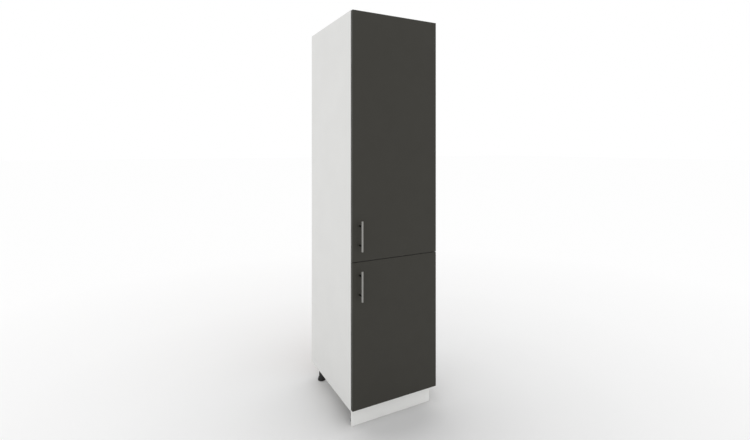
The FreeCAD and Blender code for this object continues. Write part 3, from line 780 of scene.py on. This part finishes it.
def recessed_heads(name, sizes):
    """Tree of crowned heads with a cross recess, on round shanks where these have a length."""
    tree, source = new_tree(name, sizes)
    head = cross_recess(tree, source, crowned_head(tree, source))
    length = source["Shank Length"]
    shank = rod(tree, source["Shank Radius"], length, calc(tree, "MULTIPLY", length, -1.0), SHANK_SIDES)
    shank = result(tree, "GeometryNodeSwitch", {"input_type": "GEOMETRY"}, {"Switch": length, "True": shank})
    return close_tree(tree, source, joined(tree, [head, shank]), source["Seed"])


def pad_pins(name, sizes):
    """Tree of shelf pins: a peg behind a pad with rounded corners."""
    tree, source = new_tree(name, sizes)
    plate = result(tree, "GeometryNodeCurvePrimitiveQuadrilateral",
                   inputs={"Width": source["Pad Height"], "Height": source["Pad Width"]})
    plate = result(tree, "GeometryNodeFilletCurve", {"mode": "POLY"},
                   {"Curve": plate, "Count": CORNER_STEPS, "Radius": source["Corner"]})
    end = vector(tree, Z=source["Pad Reach"])
    pad = swept(tree, result(tree, "GeometryNodeCurvePrimitiveLine", inputs={"End": end}), plate)
    back = calc(tree, "MULTIPLY", source["Peg Length"], -1.0)
    peg = rod(tree, source["Peg Radius"], source["Peg Length"], back, HEAD_SIDES)
    return close_tree(tree, source, joined(tree, [pad, peg]))


def threaded_stems(name, sizes):
    """Tree of round stems with a raised spiral thread."""
    tree, source = new_tree(name, sizes)
    base, depth = source["Stem Base"], source["Thread Depth"]
    core = calc(tree, "SUBTRACT", source["Stem Radius"], depth)
    rise = calc(tree, "SUBTRACT", source["Stem Top"], base)
    stem = rod(tree, core, rise, base, STEM_SIDES)
    run = calc(tree, "SUBTRACT", rise, calc(tree, "MULTIPLY", depth, 2.0))
    spiral = result(tree, "GeometryNodeCurveSpiral", inputs={
        "Resolution": THREAD_STEPS, "Rotations": calc(tree, "DIVIDE", run, source["Pitch"]),
        "Start Radius": core, "End Radius": core, "Height": run})
    ridge = result(tree, "GeometryNodeCurvePrimitiveCircle",
                   inputs={"Resolution": THREAD_SIDES, "Radius": depth})
    thread = moved(tree, swept(tree, spiral, ridge), calc(tree, "ADD", base, depth))
    return close_tree(tree, source, joined(tree, [stem, thread]))


def rib_rings(name, sizes):
    """Tree of ribs set round an axis, each tilted by the same lean."""
    tree, source = new_tree(name, sizes)
    ring = result(tree, "GeometryNodeMeshCircle",
                  inputs={"Vertices": source["Ribs"], "Radius": source["Ring Radius"]})
    size = vector(tree, X=source["Rib Length"], Y=source["Rib Width"], Z=source["Rib Height"])
    rib = result(tree, "GeometryNodeMeshCube", inputs={"Size": size})
    step = calc(tree, "DIVIDE", 2 * math.pi, source["Ribs"])
    angle = calc(tree, "MULTIPLY", result(tree, "GeometryNodeInputIndex"), step)
    turn = result(tree, "FunctionNodeEulerToRotation", inputs={0: vector(tree, Y=source["Lean"], Z=angle)})
    ribs = result(tree, "GeometryNodeInstanceOnPoints",
                  inputs={"Points": ring, "Instance": rib, "Rotation": turn})
    return close_tree(tree, source, moved(tree, ribs, source["Middle"]))


def grow(name, make_tree, points, sizes):
    """Plain mesh object that a tree makes at points, each a place and a way."""
    seeds = bpy.data.meshes.new(name)
    seeds.from_pydata([place for place, way in points], [], [])
    ways = seeds.attributes.new("way", "FLOAT_VECTOR", "POINT")
    ways.data.foreach_set("vector", [c for place, way in points for c in way])
    piece = bpy.data.objects.new(name, seeds)
    bpy.context.scene.collection.objects.link(piece)
    tree = bpy.data.node_groups.get(make_tree.__name__) or make_tree(make_tree.__name__, sizes)
    maker = piece.modifiers.new("maker", "NODES")
    maker.node_group = tree
    for item in tree.interface.items_tree:
        if item.in_out == "INPUT" and item.name in sizes:
            maker[item.identifier] = sizes[item.name]
    graph = bpy.context.evaluated_depsgraph_get()
    mesh = bpy.data.meshes.new_from_object(piece.evaluated_get(graph), preserve_all_data_layers=True,
                                           depsgraph=graph)
    piece.modifiers.remove(maker)
    piece.data = mesh
    return piece


def merge_into(piece, others):
    """Add other objects' meshes to a piece and drop them."""
    shape = bmesh.new()
    for source in [piece] + others:
        shape.from_mesh(source.data)
    shape.to_mesh(piece.data)
    shape.free()
    for other in others:
        bpy.data.objects.remove(other)


# Steps

class CABINET_OT_carcass(bpy.types.Operator):
    """Sides, top, bottom and fixed shelf in white foil with edged fronts and bare backs"""
    bl_idname = "cabinet.carcass"
    bl_label = "Carcass boards"

    def execute(self, context):
        for side in SIDES:
            board("side_panel_" + side, white_foil, (BACK, DOWN))
        for node in ("top_panel", "bottom_panel", "fixed_shelf"):
            board(node, white_foil, (BACK,))
        return {"FINISHED"}


class CABINET_OT_back(bpy.types.Operator):
    """Back sheets, white inside and bare behind, and the strip that joins them"""
    bl_idname = "cabinet.back"
    bl_label = "Back sheets"

    def execute(self, context):
        for row in DOORS:
            board("back_panel_" + row, hardboard, (BACK,))
        fitting("back_panel_joining_strip", white_plastic, plastics().thin_edge)
        return {"FINISHED"}


class CABINET_OT_doors(bpy.types.Operator):
    """Dark doors with their soft dots"""
    bl_idname = "cabinet.doors"
    bl_label = "Doors"

    def execute(self, context):
        for row in DOORS:
            board(row + "_door_panel", dark_foil)
            self.make_dots(row)
        return {"FINISHED"}

    def make_dots(self, row):
        """Soft domes behind a door's free corners."""
        shape = bmesh.new()
        for low, high in solids_in(row + "_door_bumpers"):
            radius, thick = (high.x - low.x) / 2, high.y - low.y
            base = Vector(((low.x + high.x) / 2, low.y, (low.z + high.z) / 2))
            dome = [(radius * math.cos(a), thick * math.sin(a)) for a in quarter_turn(DOME_STEPS)[:-1]]
            turned(shape, [(0.0, 0.0)] + dome + [(0.0, thick)], base, BACK, DOT_SIDES)
        piece = as_piece(shape, row + "_door_dots", finish_of(soft_dot))
        shade_round(piece)
        put_on(piece, row + "_door_bumpers")


class CABINET_OT_handles(bpy.types.Operator):
    """Brushed bar handles on their posts"""
    bl_idname = "cabinet.handles"
    bl_label = "Bar handles"

    def execute(self, context):
        for row in DOORS:
            self.make_bar(row)
            # Posts in steel painted near black as shade
            fitting(row + "_handle_posts", blackened_steel, metals().edge)
        return {"FINISHED"}

    def make_bar(self, row):
        """Round bar with softened ends."""
        low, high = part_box(row + "_handle_bar")
        radius, length = (high.x - low.x) / 2, high.z - low.z
        base = Vector(((low.x + high.x) / 2, (low.y + high.y) / 2, low.z))
        foot = soft_end(radius, 0.0, metals().bar_end, -1)
        head = soft_end(radius, length, metals().bar_end, 1)
        shape = bmesh.new()
        turned(shape, foot + head[::-1], base, UP, TURNED_SIDES)
        piece = as_piece(shape, row + "_bar", finish_of(brushed_steel))
        shade_round(piece)
        put_on(piece, row + "_handle_bar")


class CABINET_OT_hinges(bpy.types.Operator):
    """Hinge plates, arms, links, cups and their pins in nickel"""
    bl_idname = "cabinet.hinges"
    bl_label = "Hinges"

    def execute(self, context):
        nodes = ["hinge_plates", "hinge_arms", "hinge_arm_pins"]
        for row in DOORS:
            nodes += [row + end for end in ("_hinge_cups", "_hinge_cup_pins", "_outer_links", "_inner_links")]
        for node in nodes:
            fitting(node, nickel_plate, metals().edge)
        return {"FINISHED"}


def set_heads(node, way, screw, recess):
    """Heads with a cross recess on every solid of a node, whose shanks go the given way."""
    height, crown, shank = screw
    axis = max(range(3), key=lambda i: abs(way[i]))
    across = (axis + 1) % 3
    points = []
    for low, high in solids_in(node):
        seat = (low + high) / 2
        seat[axis] = low[axis] + height if way[axis] > 0 else high[axis] - height
        points.append((seat, tuple(-c for c in way)))
    length = high[axis] - low[axis] - height
    piece = grow("finished_" + node, recessed_heads, points, {
        "Head Radius": (high[across] - low[across]) / 2, "Head Height": height, "Crown Height": crown,
        "Recess Width": recess, "Recess Depth": min(height * RECESS_SHARE, DEEPEST_RECESS),
        "Shank Radius": shank, "Shank Length": length if length > WELD else 0.0,
        "Seed": metals().seed, "Finish": finish_of(zinc_plate)})
    shade_round(piece)
    put_on(piece, node)


class CABINET_OT_screws(bpy.types.Operator):
    """Every small screw, with a cross recess turned as it was left"""
    bl_idname = "cabinet.screws"
    bl_label = "Screws"

    def execute(self, context):
        recess = metals().recess
        for node, way in {"hinge_plate_screws": RIGHT, "leg_socket_screws": UP, "plinth_clip_screws": FRONT,
                          "wall_bracket_screws": UP, "upper_hinge_cup_screws": FRONT,
                          "lower_hinge_cup_screws": FRONT}.items():
            set_heads(node, way, SMALL_SCREW, recess)
        set_heads("hinge_arm_screws", RIGHT, ARM_SCREW, recess)
        for row in DOORS:
            set_heads(row + "_handle_screws", FRONT, HANDLE_SCREW, recess)
        return {"FINISHED"}


class CABINET_OT_joints(bpy.types.Operator):
    """Cam locks with a cross recess, their bolts and the beech dowels"""
    bl_idname = "cabinet.joints"
    bl_label = "Joint fittings"

    def execute(self, context):
        low, high = solids_in("cam_locks")[0]
        set_heads("cam_locks", UP, (high.z - low.z, CAM_CROWN, 0.0), CAM_RECESS)
        for node, make in (("cam_bolts", zinc_plate), ("wood_dowels", beech)):
            NODES[node].data.materials.clear()
            NODES[node].data.materials.append(finish_of(make))
        return {"FINISHED"}


class CABINET_OT_shelves(bpy.types.Operator):
    """Loose shelves and the pins under them"""
    bl_idname = "cabinet.shelves"
    bl_label = "Loose shelves"

    def execute(self, context):
        for node in SHELVES:
            board(node, white_foil, (BACK,))
        self.make_pins()
        return {"FINISHED"}

    def make_pins(self):
        """Pins whose pads stand out of the side panels."""
        points = []
        for low, high in solids_in("shelf_pins"):
            side = math.copysign(1.0, low.x)
            face = low.x + PAD_REACH if side > 0 else high.x - PAD_REACH
            points.append((Vector((face, (low.y + high.y) / 2, (low.z + high.z) / 2)), (-side, 0.0, 0.0)))
        piece = grow("finished_shelf_pins", pad_pins, points, {
            "Pad Height": high.z - low.z, "Pad Width": high.y - low.y, "Pad Reach": PAD_REACH,
            "Corner": PAD_CORNER, "Peg Radius": PEG_RADIUS, "Peg Length": high.x - low.x - PAD_REACH,
            "Finish": finish_of(nickel_plate)})
        shade_round(piece)
        put_on(piece, "shelf_pins")


class CABINET_OT_legs(bpy.types.Operator):
    """Black leg sockets with ribs, and feet with a thread and grip ribs"""
    bl_idname = "cabinet.legs"
    bl_label = "Legs"

    def execute(self, context):
        for leg in LEGS:
            self.make_socket("leg_socket_" + leg)
            self.make_foot("leg_foot_" + leg)
        return {"FINISHED"}

    def make_socket(self, node):
        """Socket with upright ribs on its tube."""
        low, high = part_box(node)
        axis = Vector(((low.x + high.x) / 2, (low.y + high.y) / 2, 0.0))
        piece = fitting(node, black_plastic, plastics().edge)
        piece.modifiers.clear()
        ribs = grow(node + "_ribs", rib_rings, [(axis, UP)], {
            "Ribs": plastics().ribs, "Ring Radius": TUBE, "Rib Length": RIB, "Rib Width": RIB, "Lean": 0.0,
            "Rib Height": GRIP, "Middle": high.z - GRIP_DROP, "Finish": finish_of(black_plastic)})
        merge_into(piece, [ribs])
        shade_round(piece)

    def make_foot(self, node):
        """Flared foot with ribs down its slope, on a threaded stem."""
        low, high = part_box(node)
        axis = Vector(((low.x + high.x) / 2, (low.y + high.y) / 2, low.z))
        wide = (high.x - low.x) / 2
        rise, run = FLARE_TOP - RIM, wide - NECK
        steps = [k / FLARE_STEPS for k in range(FLARE_STEPS + 1)]
        profile = soft_end(wide, 0.0, RIM_ROUNDING, -1) + [(wide, RIM - RIM_ROUNDING)]
        profile += [(NECK + (run - FLARE_INSET) * (1 - t) ** BOW, RIM + (rise - CHAMFER) * t) for t in steps]
        profile += [(NECK - CHAMFER, FLARE_TOP), (0.0, FLARE_TOP)]
        shape = bmesh.new()
        turned(shape, profile, axis, UP, TURNED_SIDES)
        black = finish_of(black_plastic)
        piece = as_piece(shape, "finished_" + node, black)
        ribs = grow(node + "_ribs", rib_rings, [(axis, UP)], {
            "Ribs": plastics().ribs, "Ring Radius": (wide + NECK) / 2, "Rib Width": RIB, "Rib Height": RIB,
            "Rib Length": math.hypot(rise, run) * RIB_SHARE, "Lean": math.atan2(rise, run),
            "Middle": (FLARE_TOP + RIM) / 2, "Finish": black})
        stem = grow(node + "_stem", threaded_stems, [(axis, UP)], {
            "Stem Radius": STEM, "Stem Base": FLARE_TOP - STEM_SINK, "Stem Top": high.z - low.z,
            "Pitch": plastics().pitch, "Thread Depth": plastics().thread, "Finish": black})
        merge_into(piece, [ribs, stem])
        shade_round(piece)
        put_on(piece, node)


class CABINET_OT_plinth(bpy.types.Operator):
    """Plinth board with its seal strip and its clips"""
    bl_idname = "cabinet.plinth"
    bl_label = "Plinth"

    def execute(self, context):
        # The plinth wears the carcass foil painted lighter, to make up for its shade
        board("plinth_board", plinth_foil, (DOWN,))
        fitting("plinth_seal_strip", white_plastic, plastics().edge)
        fitting("plinth_clips", black_plastic, plastics().edge)
        return {"FINISHED"}


class CABINET_OT_brackets(bpy.types.Operator):
    """Wall brackets in zinc"""
    bl_idname = "cabinet.brackets"
    bl_label = "Wall brackets"

    def execute(self, context):
        for side in SIDES:
            fitting("wall_bracket_" + side, zinc_plate, metals().bracket_edge)
        return {"FINISHED"}


class CABINET_OT_stage(bpy.types.Operator):
    """Pale floor with a painted shadow round the cabinet, even white light with one soft lamp, and the camera
    """
    bl_idname = "cabinet.stage"
    bl_label = "Stage"

    def execute(self, context):
        stage = context.scene.cabinet_stage
        self.lay_floor(stage)
        self.set_light(context.scene, stage)
        self.set_camera(context.scene, stage)
        return {"FINISHED"}

    def lay_floor(self, stage):
        """Wide matt floor that is darker near the cabinet: a shadow painted into its colour."""
        shape = bmesh.new()
        bmesh.ops.create_grid(shape, x_segments=1, y_segments=1, size=FLOOR_HALF)
        finish, tree, shader, place = new_finish("pale_floor")
        spot = result(tree, "ShaderNodeMapping",
                      inputs={"Vector": place, "Location": SHADE_SHIFT, "Scale": SHADE_SCALE})
        away = result(tree, "ShaderNodeVectorMath", {"operation": "LENGTH"}, {0: spot}, "Value")
        reach = FLOOR_SHADE[-1][0]
        # Painted shadow: the floor's colour steps from dark near the cabinet to pale far off
        stops = [(distance / reach, tone(stage.floor, share)) for distance, share in FLOOR_SHADE]
        pale = ramp(tree, span(tree, away, onto=(0.0, 1.0), over=(0.0, reach)), stops)
        rough = span(tree, noise(tree, place, scale=30), onto=(0.85, 0.95))
        fill(tree, shader, {"Base Color": pale, "Roughness": rough, "Specular IOR Level": 0.0})
        as_piece(shape, "studio_floor", finish)

    def set_light(self, scene, stage):
        """Even white sky and one soft lamp."""
        world = bpy.data.worlds.new("studio")
        world.use_nodes = True
        sky = world.node_tree.nodes["Background"].inputs
        sky["Color"].default_value = (1.0, 1.0, 1.0, 1.0)
        sky["Strength"].default_value = stage.sky
        scene.world = world
        scene.view_settings.view_transform = "Standard"
        lamp = bpy.data.lights.new("soft_lamp", "AREA")
        lamp.size = LAMP_WIDTH
        lamp.energy = stage.lamp
        holder = bpy.data.objects.new("soft_lamp", lamp)
        holder.location = LAMP_PLACE
        facing = Vector(LAMP_TARGET) - holder.location
        holder.rotation_euler = facing.to_track_quat("-Z", "Y").to_euler()
        scene.collection.objects.link(holder)

    def set_camera(self, scene, stage):
        """Level camera whose lens is shifted down."""
        lens = bpy.data.cameras.new("camera")
        lens.sensor_fit = "HORIZONTAL"
        lens.sensor_width = SENSOR
        lens.lens = stage.lens
        lens.shift_x, lens.shift_y = stage.shift
        camera = bpy.data.objects.new("camera", lens)
        camera.location = stage.eye
        camera.rotation_euler = Vector(stage.aim).to_track_quat("-Z", "Y").to_euler()
        scene.collection.objects.link(camera)
        scene.camera = camera


SETTINGS = {"cabinet_boards": CABINET_PG_boards, "cabinet_metals": CABINET_PG_metals,
            "cabinet_plastics": CABINET_PG_plastics, "cabinet_stage": CABINET_PG_stage}
STEPS = (CABINET_OT_stage, CABINET_OT_carcass, CABINET_OT_back, CABINET_OT_doors, CABINET_OT_handles,
         CABINET_OT_hinges, CABINET_OT_screws, CABINET_OT_joints, CABINET_OT_shelves, CABINET_OT_legs,
         CABINET_OT_plinth, CABINET_OT_brackets)


class CABINET_PT_panel(bpy.types.Panel):
    """Settings and steps of the cabinet"""
    bl_idname = "CABINET_PT_panel"
    bl_label = "Tall pantry cabinet"
    bl_space_type = "VIEW_3D"
    bl_region_type = "UI"
    bl_category = "Cabinet"

    def draw(self, context):
        for name, group in SETTINGS.items():
            box = self.layout.box()
            for key in group.__annotations__:
                box.prop(getattr(context.scene, name), key)
        for step in STEPS:
            self.layout.operator(step.bl_idname)


CLASSES = (*SETTINGS.values(), *STEPS, CABINET_PT_panel)


def register():
    """Register every class and hang the settings on the scene."""
    for item in CLASSES:
        bpy.utils.register_class(item)
    for name, group in SETTINGS.items():
        setattr(bpy.types.Scene, name, bpy.props.PointerProperty(type=group))


def unregister():
    """Take the settings off the scene and drop every class."""
    for name in SETTINGS:
        delattr(bpy.types.Scene, name)
    for item in reversed(CLASSES):
        bpy.utils.unregister_class(item)


def main():
    """Build the whole cabinet."""
    register()
    for step in STEPS:
        family, name = step.bl_idname.split(".")
        getattr(getattr(bpy.ops, family), name)()


if __name__ == "__main__":
    main()
